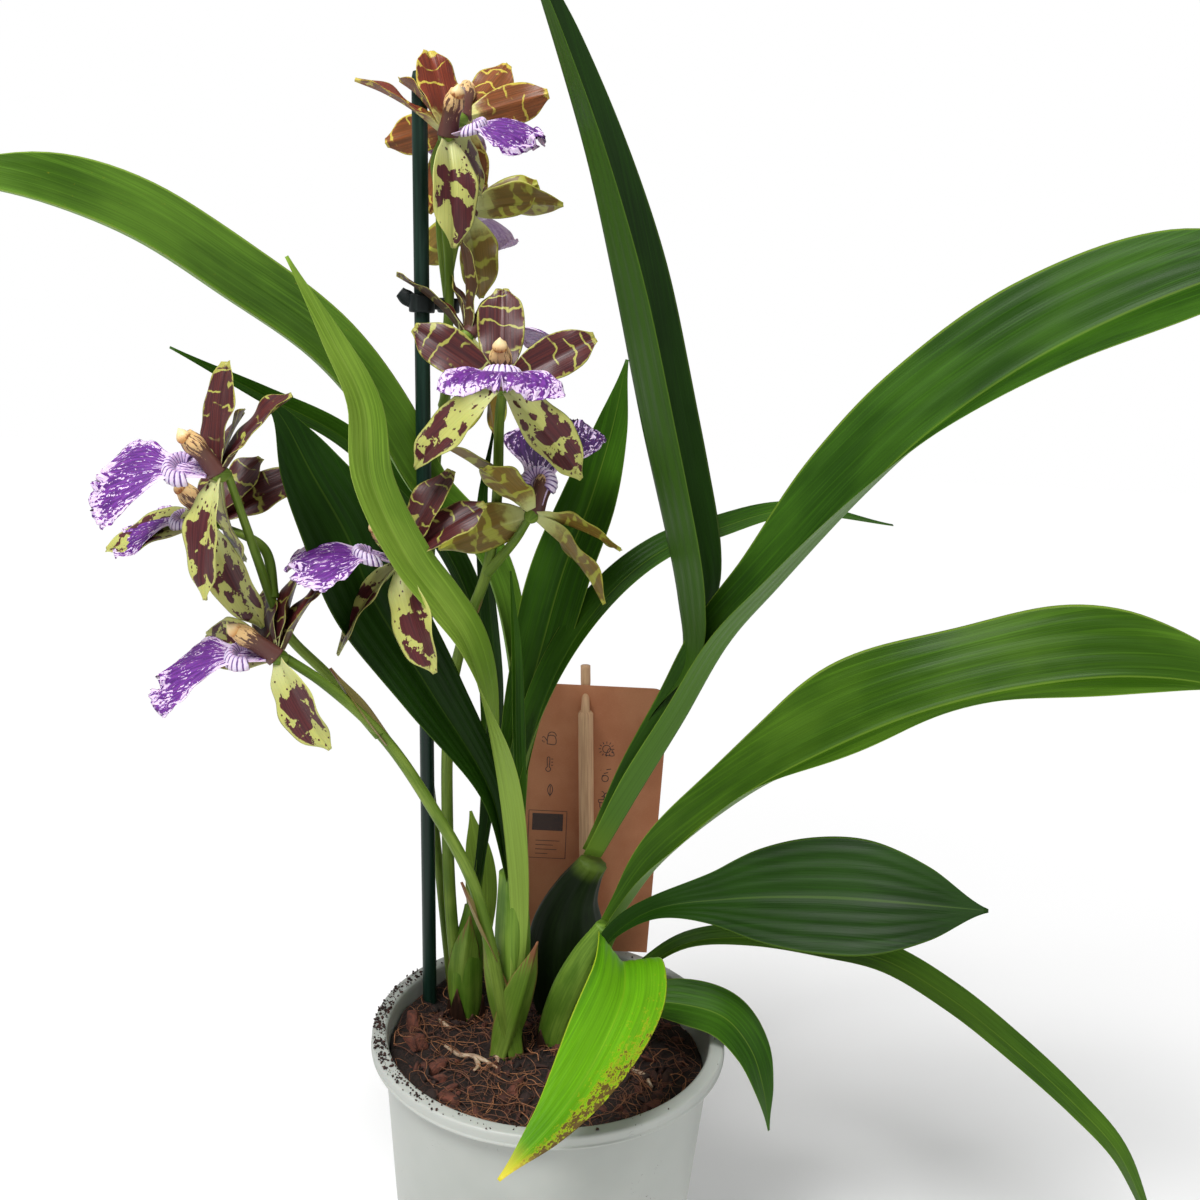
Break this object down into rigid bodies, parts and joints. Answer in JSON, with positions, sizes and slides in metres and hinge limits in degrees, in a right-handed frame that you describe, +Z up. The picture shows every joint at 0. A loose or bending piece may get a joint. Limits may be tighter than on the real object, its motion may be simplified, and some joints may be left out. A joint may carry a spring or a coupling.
{
  "type": "potted orchid",
  "caption": "Flowering orchid in a round plastic pot: arching strap leaves, blotched flowers with broad lips on staked stems, and a care card on a stick.",
  "frame": {"origin": "centre of the pot's foot, on the surface that it stands on", "axes": "+Z up, +X to the side of the two longest right-hand leaves, +Y to the back, where the care card stands"},
  "size_m": [0.4075, 0.162, 0.4633],
  "materials": {
    "leaf": "satin",
    "leaf_lime": "satin",
    "stem": "satin",
    "bulb": "satin",
    "tepal": "satin",
    "lip": "matte",
    "pot_plastic": "satin",
    "bark": "matte",
    "stake_plastic": "satin",
    "kraft": "matte",
    "stick_wood": "matte"
  },
  "bodies": {
    "root": {"stake": "stake_plastic", "card_stick": "stick_wood", "care_card": "kraft", "stake_clip": "stake_plastic", "growth_front": "stem", "growth_back": "stem", "pseudobulb": "bulb", "growth_right": "stem", "spike_front": "stem", "spike_middle": "stem", "spike_back": "stem", "flower_01_tepals": "tepal", "flower_01_lip": "lip", "flower_02_tepals": "tepal", "flower_02_lip": "lip", "flower_03_tepals": "tepal", "flower_03_lip": "lip", "flower_04_tepals": "tepal", "flower_04_lip": "lip", "flower_05_tepals": "tepal", "flower_05_lip": "lip", "flower_06_tepals": "tepal", "flower_06_lip": "lip", "flower_07_tepals": "tepal", "flower_07_lip": "lip", "flower_08_tepals": "tepal", "flower_08_lip": "lip", "flower_09_tepals": "tepal", "flower_09_lip": "lip", "flower_10_tepals": "tepal", "flower_10_lip": "lip", "sheath_front_right": "stem", "sheath_front_left": "stem", "sheath_back": "stem", "leaf_right_high": "leaf", "leaf_tall": "leaf", "leaf_right_long": "leaf", "leaf_oval": "leaf", "leaf_drooping": "leaf", "leaf_front": "leaf_lime", "leaf_short": "leaf", "leaf_lime": "leaf_lime", "leaf_left_broad": "leaf", "leaf_inner_small": "leaf", "leaf_behind_right": "leaf", "leaf_upright": "leaf", "leaf_left_long": "leaf", "leaf_left_narrow": "leaf", "leaf_dark_narrow": "leaf", "leaf_pale_short": "leaf_lime", "growing_medium": "bark", "pot": "pot_plastic"}
  },
  "joints": []
}
